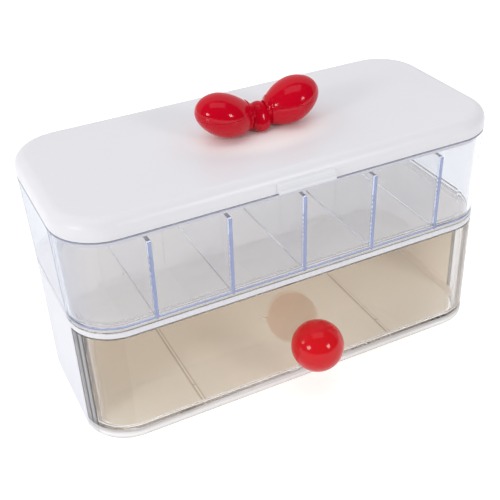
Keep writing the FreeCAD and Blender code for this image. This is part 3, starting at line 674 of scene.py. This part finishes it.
def lobe_skin(side):
    """Rings of points of one lobe, from inside the knot to the round end, in mm."""
    near = np.linspace(LOBE["start"], COLLAR["clear"], NECK_RINGS)
    far = 1.0 - (1.0 - np.linspace(0.0, 1.0, LOBE_RINGS)) ** RINGS_CROWDING
    far = COLLAR["clear"] + (LOBE["end"] - COLLAR["clear"]) * far
    out = np.concatenate([near, far[1:]])
    run = np.maximum(out - LOBE["neck"], 0.0) / (LOBE["end"] - LOBE["neck"])
    turn = np.linspace(0.0, 2.0 * math.pi, AROUND, endpoint=False)
    level = LOBE["level"] + LOBE["rise"] * (out - LOBE["middle"])
    fold = collar(out[:, None], turn[None])
    depth = LOBE["depth"] * swell(run, LOBE["neck_depth"])[:, None] + fold
    height = LOBE["height"] * swell(run, LOBE["neck_height"])[:, None] + fold
    x = np.repeat(side * out[:, None], AROUND, axis=1)
    y = BOW_DEPTH_PLACE + depth * np.cos(turn)
    z = level[:, None] + height * np.sin(turn)
    return np.stack([x, y, np.maximum(z, LID_LEVEL + LOBE_FOOT_GAP)], axis=-1)


# %% [markdown]
# The knot's outline from the side is written as radii at a few angles, from the back over the
# top to the front, and smoothed round. Its width grows the same way, so it sits broad on the
# lid, as the gathered middle of a ribbon does.

# %% Sections of the knot
KNOT_ANGLES = (-90.0, -50.0, -38.0, -29.0, -18.0, 0.0, 18.0, 39.0, 58.0, 74.0, 90.0)
KNOT_RADII = (6.1, 7.7, 8.1, 8.2, 7.9, 6.9, 6.45, 6.4, 6.75, 7.25, 7.35)
KNOT_WIDTHS = (6.3, 6.3, 6.3, 6.3, 6.3, 6.3, 6.2, 6.1, 5.9, 5.7, 5.6)
KNOT_LEVEL = 127.0
KNOT_FOOT_GAP = 0.05
KNOT_RINGS = 61
SMOOTHING = 11


def knot_skin():
    """Rings of points of the knot from left to right, in mm."""
    turn = np.linspace(0.0, 2.0 * math.pi, AROUND, endpoint=False)
    rise = np.degrees(np.arcsin(np.sin(turn)))
    soft = np.hanning(SMOOTHING) / np.hanning(SMOOTHING).sum()
    reach_round = SMOOTHING // 2

    def smooth(values):
        rough = np.interp(rise, KNOT_ANGLES, values)
        padded = np.concatenate([rough[-reach_round:], rough, rough[:reach_round]])
        return np.convolve(padded, soft, mode="valid")

    radius = smooth(KNOT_RADII)
    width = smooth(KNOT_WIDTHS)
    lean = np.linspace(-math.pi / 2.0, math.pi / 2.0, KNOT_RINGS)
    x = np.sin(lean)[:, None] * width[None]
    reach = np.cos(lean)[:, None] * radius[None]
    y = BOW_DEPTH_PLACE + reach * np.cos(turn)
    z = KNOT_LEVEL + reach * np.sin(turn)
    return np.stack([x, y, np.maximum(z, LID_LEVEL + KNOT_FOOT_GAP)], axis=-1)


# %% [markdown]
# Each skin becomes a closed mesh. It is cut at the parting level and once more close beside
# it, above for the upper half and below for the lower. The points on the parting cut are drawn
# in a little. That leaves the fine line that the joint of the two half shells has, as a real
# groove that catches the lamps.

# %% Skins and cuts
GROOVE_HALF_WIDTH = 0.16
GROOVE_DEPTH = 0.10
WELD_DISTANCE = 1e-6
TINY_DISTANCE = 1e-7


def skin_mesh(rings):
    """A closed bmesh from rings of points, in metres."""
    mesh = bmesh.new()
    rows = [[mesh.verts.new(tuple(p * MM)) for p in ring] for ring in rings]
    count = len(rows[0])
    for first, second in zip(rows, rows[1:]):
        for i in range(count):
            j = (i + 1) % count
            mesh.faces.new((first[i], first[j], second[j], second[i]))
    mesh.faces.new(rows[0])
    mesh.faces.new(reversed(rows[-1]))
    bmesh.ops.remove_doubles(mesh, verts=mesh.verts, dist=WELD_DISTANCE)
    bmesh.ops.dissolve_degenerate(mesh, edges=mesh.edges, dist=TINY_DISTANCE)
    bmesh.ops.recalc_face_normals(mesh, faces=mesh.faces)
    return mesh


def cut_level(mesh, level, drop_above=False, drop_below=False):
    """Cuts a mesh at a level and returns the points on the cut."""
    everything = mesh.verts[:] + mesh.edges[:] + mesh.faces[:]
    cut = bmesh.ops.bisect_plane(
        mesh, geom=everything, dist=TINY_DISTANCE, plane_co=(0, 0, level * MM),
        plane_no=(0, 0, 1), clear_outer=drop_above, clear_inner=drop_below)["geom_cut"]
    return [e for e in cut if isinstance(e, bmesh.types.BMVert)]


# %% [markdown]
# The lobes and the knot are cut one by one, closed at the cut, and joined into one piece for
# each half. A face of many corners closes a cut, and it stays flat while the skin is smooth.

# %% Half shells of the bow
CORNERS_OF_A_CUT = 8


def grooved_half(rings, upper):
    """The half of one skin above or below the parting level, with its rim drawn in."""
    part = skin_mesh(rings)
    cut_level(part, PARTING_LEVEL + (GROOVE_HALF_WIDTH if upper else -GROOVE_HALF_WIDTH))
    rim = cut_level(part, PARTING_LEVEL, drop_above=not upper, drop_below=upper)
    part.normal_update()
    inward = {v: Vector((v.normal.x, v.normal.y, 0.0)).normalized() for v in rim}
    for vert, way in inward.items():
        vert.co -= way * (GROOVE_DEPTH * MM)
    edges = [e for e in part.edges if e.is_boundary]
    bmesh.ops.contextual_create(part, geom=edges)
    bmesh.ops.recalc_face_normals(part, faces=part.faces)
    for face in part.faces:
        face.smooth = len(face.verts) < CORNERS_OF_A_CUT
    return part


def half_shell(name, upper):
    """The upper or lower half of the bow as one piece with its grooved rim."""
    joined = bmesh.new()
    for rings in (lobe_skin(-1), lobe_skin(1), knot_skin()):
        part = grooved_half(rings, upper)
        store = bpy.data.meshes.new("part")
        part.to_mesh(store)
        joined.from_mesh(store)
        part.free()
        bpy.data.meshes.remove(store)
    data = bpy.data.meshes.new(name)
    joined.to_mesh(data)
    joined.free()
    data.materials.append(bow_red)
    piece = bpy.data.objects.new(name, data)
    bpy.context.scene.collection.objects.link(piece)
    return piece


for name, upper, solid in (
    ("bow_upper", True, "bow_upper_shell"),
    ("bow_lower", False, "bow_lower_shell"),
):
    shell = half_shell(name, upper)
    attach(shell, "lid")
    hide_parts(solid)
    print(name, len(shell.data.polygons), "faces")

# %% [markdown]
# ## Turned pieces
# The ball knob and the screws are turned forms, so Geometry Nodes make them: a line of points
# along the axis, and a circle swept along it whose size follows a rule. Each tree has named
# sizes. Its result is kept as a plain mesh, which rides on the body that it belongs to.

# %% Helpers for forms
MERGE_DISTANCE = 2e-6


def new_form(name, inputs):
    """A geometry tree with named inputs: the tree, its inputs and its output node."""
    tree = bpy.data.node_groups.new(name, "GeometryNodeTree")
    tree.interface.new_socket("Geometry", in_out="OUTPUT", socket_type="NodeSocketGeometry")
    for label, kind in inputs.items():
        tree.interface.new_socket(label, in_out="INPUT", socket_type=f"NodeSocket{kind}")
    return tree, add_node(tree, "NodeGroupInput").outputs, add_node(tree, "NodeGroupOutput")


def sweep(tree, line, count, size, sides, place=None):
    """Sweeps a circle of a changing size along a line of points, with closed ends."""
    path = add_node(tree, "GeometryNodeResampleCurve", {"Curve": line, "Count": count}).outputs[0]
    if place:
        moved = add_node(tree, "GeometryNodeSetPosition", {"Geometry": path, "Position": place})
        path = moved.outputs[0]
    ring = add_node(tree, "GeometryNodeCurvePrimitiveCircle", {"Resolution": sides, "Radius": 1.0})
    return add_node(tree, "GeometryNodeCurveToMesh", {
        "Curve": path, "Profile Curve": ring.outputs["Curve"], "Scale": size, "Fill Caps": True,
    }).outputs["Mesh"]


def finish_form(tree, geometry, material, output):
    """Ends a tree: closes the poles, makes instances real and gives the material."""
    merged = add_node(tree, "GeometryNodeMergeByDistance", {
        "Geometry": geometry, "Distance": MERGE_DISTANCE,
    })
    smooth = add_node(tree, "GeometryNodeSetShadeSmooth", {"Geometry": merged.outputs[0]})
    real = add_node(tree, "GeometryNodeRealizeInstances", {"Geometry": smooth.outputs[0]})
    done = add_node(tree, "GeometryNodeSetMaterial", {
        "Geometry": real.outputs[0], "Material": material,
    })
    tree.links.new(done.outputs[0], output.inputs["Geometry"])


# %% [markdown]
# A tree only describes a form. To keep it, a modifier runs the tree once with its sizes, and
# the result becomes a plain mesh whose normals point outwards. The count of open edges tells
# whether the form is closed.

# %% Keeping a form as a mesh
SHARP_ANGLE = 35.0


def bake_form(name, tree, values, body, solid):
    """Runs a tree with its sizes and keeps the result as one plain mesh on a body."""
    piece = bpy.data.objects.new(name, bpy.data.meshes.new(name))
    bpy.context.scene.collection.objects.link(piece)
    modifier = piece.modifiers.new("form", "NODES")
    modifier.node_group = tree
    for item in tree.interface.items_tree:
        if item.in_out == "INPUT":
            modifier[item.identifier] = values[item.name]
    bpy.context.view_layer.update()
    evaluated = piece.evaluated_get(bpy.context.evaluated_depsgraph_get())
    data = bpy.data.meshes.new_from_object(evaluated)
    piece.modifiers.remove(modifier)
    closed = bmesh.new()
    closed.from_mesh(data)
    bmesh.ops.dissolve_degenerate(closed, edges=closed.edges, dist=TINY_DISTANCE)
    bmesh.ops.recalc_face_normals(closed, faces=closed.faces)
    open_edges = sum(not edge.is_manifold for edge in closed.edges)
    closed.to_mesh(data)
    closed.free()
    data.set_sharp_from_angle(angle=math.radians(SHARP_ANGLE))
    piece.data = data
    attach(piece, body)
    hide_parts(solid)
    print(name, len(data.polygons), "faces,", open_edges, "open edges")
    return piece


# %% [markdown]
# ## The ball knob
# A ball's half width at a distance y from its middle is the root of radius squared less y
# squared. The points are spaced by angle, so the rings are as fine at the pole as at the
# middle. The last ring is the flat seat on the drawer front.

# %% Ball knob
BALL_RINGS = 90
BALL_SIDES = 144


def ball_form():
    """A turned ball with a flat seat, its axis along Y."""
    tree, given, output = new_form("turned_ball", {
        "Ball Radius": "Float", "Stand Off": "Float", "Middle": "Vector", "Rings": "Int",
        "Finish": "Material",
    })
    radius, middle = given["Ball Radius"], given["Middle"]
    line = add_node(tree, "GeometryNodeCurvePrimitiveLine").outputs["Curve"]
    share = add_node(tree, "GeometryNodeSplineParameter").outputs["Factor"]
    seat = worked_out(tree, given["Stand Off"], ("DIVIDE", radius), ("ARCCOSINE",))
    rest = worked_out(tree, seat, ("MULTIPLY_ADD", -1.0, math.pi))
    along = worked_out(tree, share, ("MULTIPLY_ADD", rest, seat), ("COSINE",), ("MULTIPLY", radius))
    offset = add_node(tree, "ShaderNodeCombineXYZ", {"Y": along}).outputs[0]
    place = add_node(tree, "ShaderNodeVectorMath", {0: middle, 1: offset}, operation="ADD")
    here = add_node(tree, "GeometryNodeInputPosition").outputs[0]
    away = add_node(tree, "ShaderNodeVectorMath", {0: here, 1: middle}, operation="DISTANCE")
    squared = worked_out(tree, away.outputs["Value"], ("MULTIPLY", away.outputs["Value"]))
    girth = worked_out(tree, radius, ("MULTIPLY", radius), ("SUBTRACT", squared), ("MAXIMUM", 0.0),
                       ("SQRT",))
    ball = sweep(tree, line, given["Rings"], girth, BALL_SIDES, place=place.outputs[0])
    finish_form(tree, ball, given["Finish"], output)
    return tree


low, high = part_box("knob_ball")
ball_radius = (high.x - low.x) / 2.0
ball_middle = Vector((0.0, low.y + ball_radius, (low.z + high.z) / 2.0))
bake_form("ball_knob", ball_form(), {
    "Ball Radius": ball_radius, "Stand Off": high.y - ball_middle.y, "Middle": ball_middle,
    "Rings": BALL_RINGS, "Finish": ball_red,
}, "drawer", "knob_ball")

# %% [markdown]
# ## The screws
# One tree makes the countersunk screw of the knob and the two domed screws of the bow. First
# comes the blank: a cone or a dome for the head, then the shank down to its root, then a
# point. A switch from 0 to 1 chooses between cone and dome.

# %% Blank of a screw
MIX_FLOAT_FIRST, MIX_FLOAT_SECOND = 2, 3
SCREW_RINGS = 200
SCREW_SIDES = 48


def screw_blank(tree, given):
    """The turned head and shank, with the head's face at zero and the point upwards."""
    head, tall, shank = given["Head Radius"], given["Head Height"], given["Shank Radius"]
    root = worked_out(tree, shank, ("SUBTRACT", given["Thread Depth"]))
    whole = worked_out(tree, tall, ("ADD", given["Length"]))
    end = add_node(tree, "ShaderNodeCombineXYZ", {"Z": whole}).outputs[0]
    line = add_node(tree, "GeometryNodeCurvePrimitiveLine", {"End": end}).outputs["Curve"]
    here = add_node(tree, "GeometryNodeInputPosition").outputs[0]
    level = add_node(tree, "ShaderNodeSeparateXYZ", {"Vector": here}).outputs["Z"]
    share = worked_out(tree, level, ("DIVIDE", tall), ("MINIMUM", 1.0))
    cone = add_node(tree, "ShaderNodeMix", {
        MIX_FACTOR: share, MIX_FLOAT_FIRST: head, MIX_FLOAT_SECOND: shank,
    }).outputs[0]
    left = worked_out(tree, share, REST_OF_ONE)
    dome = worked_out(tree, left, ("MULTIPLY", left), REST_OF_ONE, ("SQRT",), ("SUBTRACT", 1.0),
                      ("MULTIPLY_ADD", tall, head))
    top = add_node(tree, "ShaderNodeMix", {
        MIX_FACTOR: given["Dome"], MIX_FLOAT_FIRST: cone, MIX_FLOAT_SECOND: dome,
    }).outputs[0]
    point = worked_out(tree, whole, ("SUBTRACT", level), ("MINIMUM", root), ("MAXIMUM", 0.0))
    below = worked_out(tree, tall, ("ADD", WELD_DISTANCE), ("LESS_THAN", level))
    girth = add_node(tree, "ShaderNodeMix", {
        MIX_FACTOR: below, MIX_FLOAT_FIRST: top, MIX_FLOAT_SECOND: point,
    }).outputs[0]
    return sweep(tree, line, SCREW_RINGS, girth, SCREW_SIDES)


# %% [markdown]
# The driver's cross is cut into the head with two bars. The thread is a four-sided ridge that
# is swept along a spiral round the shank.

# %% Cross and thread of a screw
THREAD_POINTS_A_TURN = 28
THREAD_SIDES = 4


def with_cross(tree, given, blank):
    """The blank with a cross cut into its head."""
    cut = add_node(tree, "GeometryNodeMeshBoolean", {"Mesh 1": blank}, operation="DIFFERENCE",
                   solver="EXACT")
    for first, second in (("Y", "X"), ("X", "Y")):
        size = add_node(tree, "ShaderNodeCombineXYZ", {
            first: given["Cross Width"], second: given["Cross Length"],
            "Z": worked_out(tree, given["Cross Depth"], ("MULTIPLY", 2.0)),
        }).outputs[0]
        bar = add_node(tree, "GeometryNodeMeshCube", {"Size": size}).outputs["Mesh"]
        tree.links.new(bar, cut.inputs["Mesh 2"])
    return cut.outputs["Mesh"]


def wound_thread(tree, given):
    """The thread's ridge, from just under the head to just before the point."""
    depth, shank = given["Thread Depth"], given["Shank Radius"]
    root = worked_out(tree, shank, ("SUBTRACT", depth))
    run = worked_out(tree, shank, ("MULTIPLY_ADD", -1.5, given["Length"]))
    spiral = add_node(tree, "GeometryNodeCurveSpiral", {
        "Resolution": THREAD_POINTS_A_TURN,
        "Rotations": worked_out(tree, run, ("DIVIDE", given["Pitch"])),
        "Start Radius": root, "End Radius": root, "Height": run,
    }).outputs["Curve"]
    ridge = add_node(tree, "GeometryNodeCurvePrimitiveCircle", {
        "Resolution": THREAD_SIDES, "Radius": 1.0,
    })
    thread = add_node(tree, "GeometryNodeCurveToMesh", {
        "Curve": spiral, "Profile Curve": ridge.outputs["Curve"], "Scale": depth,
        "Fill Caps": True,
    }).outputs["Mesh"]
    start = worked_out(tree, given["Head Height"], ("ADD", depth))
    shift = add_node(tree, "ShaderNodeCombineXYZ", {"Z": start}).outputs[0]
    return add_node(tree, "GeometryNodeTransform", {
        "Geometry": thread, "Translation": shift,
    }).outputs[0]


# %% [markdown]
# A line of points repeats the screw, so the bow's pair is one piece. A tilt turns its axis.

# %% Row of screws


def screw_form():
    """A row of screws, each with its head's face at the point and its shank away from it."""
    tree, given, output = new_form("turned_screw", {
        "Head Radius": "Float", "Head Height": "Float", "Dome": "Float", "Shank Radius": "Float",
        "Thread Depth": "Float", "Length": "Float", "Pitch": "Float", "Cross Length": "Float",
        "Cross Width": "Float", "Cross Depth": "Float", "Count": "Int", "Spacing": "Float",
        "First Place": "Vector", "Tilt": "Vector", "Finish": "Material",
    })
    screw = add_node(tree, "GeometryNodeJoinGeometry")
    tree.links.new(with_cross(tree, given, screw_blank(tree, given)), screw.inputs[0])
    tree.links.new(wound_thread(tree, given), screw.inputs[0])
    step = add_node(tree, "ShaderNodeCombineXYZ", {"X": given["Spacing"]}).outputs[0]
    row = add_node(tree, "GeometryNodeMeshLine", {
        "Count": given["Count"], "Start Location": given["First Place"], "Offset": step,
    })
    turn = add_node(tree, "FunctionNodeEulerToRotation", {"Euler": given["Tilt"]}).outputs[0]
    placed = add_node(tree, "GeometryNodeInstanceOnPoints", {
        "Points": row.outputs[0], "Instance": screw.outputs[0], "Rotation": turn,
    })
    finish_form(tree, placed.outputs[0], given["Finish"], output)
    return tree


# %% [markdown]
# The knob's screw has a flat head sunk in the drawer front, and the bow's two have domed heads
# under the lid. Lengths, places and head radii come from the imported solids, so each screw sits
# where its hole is. All three share one shank, thread and cross.

# %% The knob's screw and the bow's screws
screws = screw_form()
ALL_SCREWS = {
    "Shank Radius": 1.25 * MM, "Thread Depth": 0.3 * MM, "Pitch": 0.9 * MM,
    "Cross Length": 2.6 * MM, "Cross Width": 0.7 * MM, "Cross Depth": 0.9 * MM, "Finish": zinc,
}
FLAT_HEAD = 1.05 * MM
DOMED_HEAD = 1.9 * MM
low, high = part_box("knob_screw")
bake_form("knob_screw_turned", screws, {
    "Head Radius": high.x, "Head Height": FLAT_HEAD, "Dome": 0.0,
    "Length": high.y - low.y - FLAT_HEAD, "Count": 1, "Spacing": 0.0,
    "First Place": Vector((0.0, high.y, (low.z + high.z) / 2.0)),
    "Tilt": Vector((math.pi / 2.0, 0.0, 0.0)), **ALL_SCREWS,
}, "drawer", "knob_screw")
low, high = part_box("bow_screws")
head_radius = (high.y - low.y) / 2.0
first = Vector((low.x + head_radius, (low.y + high.y) / 2.0, low.z))
bake_form("bow_screws_turned", screws, {
    "Head Radius": head_radius, "Head Height": DOMED_HEAD, "Dome": 1.0,
    "Length": high.z - low.z - DOMED_HEAD, "Count": 2, "Spacing": -2.0 * first.x,
    "First Place": first, "Tilt": Vector((0.0, 0.0, 0.0)), **ALL_SCREWS,
}, "lid", "bow_screws")

# %% [markdown]
# ## Table, surroundings and lamps
# The photograph was taken on a white table in a light tent, with two round lamps beside the
# camera, which show as two spots on every polished red form. The table and the far side are
# white, and the room behind the camera is dim, so the fronts of the red pieces stay deep.

# %% Table
TABLE_HALF = 3000.0
TABLE_DROP = 0.05
CARD_GLOW = 0.34
CARD_GLOW_SEEN = 0.12


def white_card():
    """Pale card that is seen as white, because it glows for the rays that see it."""
    material, tree, output = new_material("white_card")
    card = add_node(tree, "ShaderNodeBsdfDiffuse", {"Color": tint("#F4F4F4")})
    path = add_node(tree, "ShaderNodeLightPath").outputs
    lift = worked_out(tree, path["Is Camera Ray"], ("MULTIPLY_ADD", CARD_GLOW_SEEN, CARD_GLOW))
    glow = add_node(tree, "ShaderNodeEmission", {"Color": tint("#FFFFFF"), "Strength": lift})
    seen = worked_out(tree, path["Is Camera Ray"], ("MAXIMUM", path["Is Glossy Ray"]),
                      ("MAXIMUM", path["Is Transmission Ray"]))
    dark = add_node(tree, "ShaderNodeEmission", {"Strength": 0.0})
    extra = add_node(tree, "ShaderNodeMixShader", {0: seen, 1: dark.outputs[0], 2: glow.outputs[0]})
    lit = add_node(tree, "ShaderNodeAddShader", {0: card.outputs[0], 1: extra.outputs[0]})
    tree.links.new(lit.outputs[0], output.inputs["Surface"])
    return material


def add_table():
    """A wide pale plane that keeps the shadow."""
    mesh = bpy.data.meshes.new("table")
    half = TABLE_HALF * MM
    corners = [(-half, -half), (half, -half), (half, half), (-half, half)]
    mesh.from_pydata([(x, y, -TABLE_DROP * MM) for x, y in corners], [], [(0, 1, 2, 3)])
    table = bpy.data.objects.new("table", mesh)
    bpy.context.scene.collection.objects.link(table)
    mesh.materials.append(white_card())
    return table


print(add_table().name)

# %% [markdown]
# A ray that left a surface sees other surroundings than the camera does. What is seen directly
# is white. Reflections and diffuse light get less from the room behind the camera, and rays
# through clear plastic a little less. Each row names a kind of ray and the side towards which
# its surroundings brighten, then where they start and stop to brighten, then how bright they
# are before and after. The first row is for all other rays.

# %% Surroundings
FAR_SIDE = (0.25, 0.91, -0.33)
SOFT_SIDE = (-0.35, 0.85, 0.25)
SURROUNDINGS = (
    (None, SOFT_SIDE, (-0.6, 0.6), (0.34, 1.0)),
    ("Is Glossy Ray", FAR_SIDE, (-0.03, 0.03), (0.03, 0.60)),
    ("Is Transmission Ray", FAR_SIDE, (-0.3, 0.1), (0.3, 1.0)),
    ("Is Camera Ray", FAR_SIDE, (-1.0, 1.0), (1.0, 1.0)),
)


def set_world():
    """Surroundings that brighten towards a side, each kind of ray with its own levels."""
    world = bpy.data.worlds.new("light_tent")
    bpy.context.scene.world = world
    world.use_nodes = True
    tree = world.node_tree
    tree.nodes.clear()
    output = add_node(tree, "ShaderNodeOutputWorld")
    path = add_node(tree, "ShaderNodeLightPath").outputs
    way = add_node(tree, "ShaderNodeTexCoord").outputs["Generated"]
    last = None
    for ray, side, (start, stop), (dim, bright) in SURROUNDINGS:
        towards = add_node(tree, "ShaderNodeVectorMath", {0: way, 1: side},
                           operation="DOT_PRODUCT").outputs["Value"]
        level = add_node(tree, "ShaderNodeMapRange", {
            "Value": towards, "From Min": start, "From Max": stop, "To Min": dim, "To Max": bright,
        }, interpolation_type="SMOOTHSTEP").outputs["Result"]
        light = add_node(tree, "ShaderNodeBackground", {
            "Color": tint("#FFFFFF"), "Strength": level,
        }).outputs[0]
        if ray:
            light = add_node(tree, "ShaderNodeMixShader", {
                0: path[ray], 1: last, 2: light,
            }).outputs[0]
        last = light
    tree.links.new(last, output.inputs["Surface"])
    return world


print(set_world().name)

# %% [markdown]
# Two round lamps make the highlights, and a wide one above fills the shadows. Their places and
# sizes are in metres.

# %% Lamps
LAMP_AIM = Vector((0.0, -0.03, 0.05))
LAMP_DISTANCE = 3.0
LAMPS = {
    "lamp_left": {"way": (-0.882, -0.308, 0.358), "size": (0.76,), "radiance": 13.5},
    "lamp_right": {"way": (0.368, -0.839, 0.400), "size": (0.76,), "radiance": 13.5},
    "lamp_above": {"way": (-0.03, -0.074, 0.997), "size": (2.5, 1.5), "radiance": 0.85},
}


def add_lamp(name, way, size, radiance):
    """A round or, with two sizes, rectangular lamp that shines at the box with a brightness."""
    data = bpy.data.lights.new(name, "AREA")
    data.shape = "DISK" if len(size) == 1 else "RECTANGLE"
    data.size = size[0]
    face = math.pi * size[0] ** 2 / 4.0
    if data.shape == "RECTANGLE":
        data.size_y = size[1]
        face = size[0] * size[1]
    data.energy = radiance * math.pi * face
    lamp = bpy.data.objects.new(name, data)
    way = Vector(way).normalized()
    lamp.location = LAMP_AIM + way * LAMP_DISTANCE
    lamp.rotation_euler = way.to_track_quat("Z", "Y").to_euler()
    bpy.context.scene.collection.objects.link(lamp)
    return lamp


for name, sizes in LAMPS.items():
    lamp = add_lamp(name, **sizes)
    print(name, round(lamp.data.energy, 2), "W")

# %% [markdown]
# ## Colours as they are
# The Standard view shows a colour as it is written, which suits a plain studio picture.

# %% View settings
bpy.context.scene.view_settings.view_transform = "Standard"
bpy.context.view_layer.update()
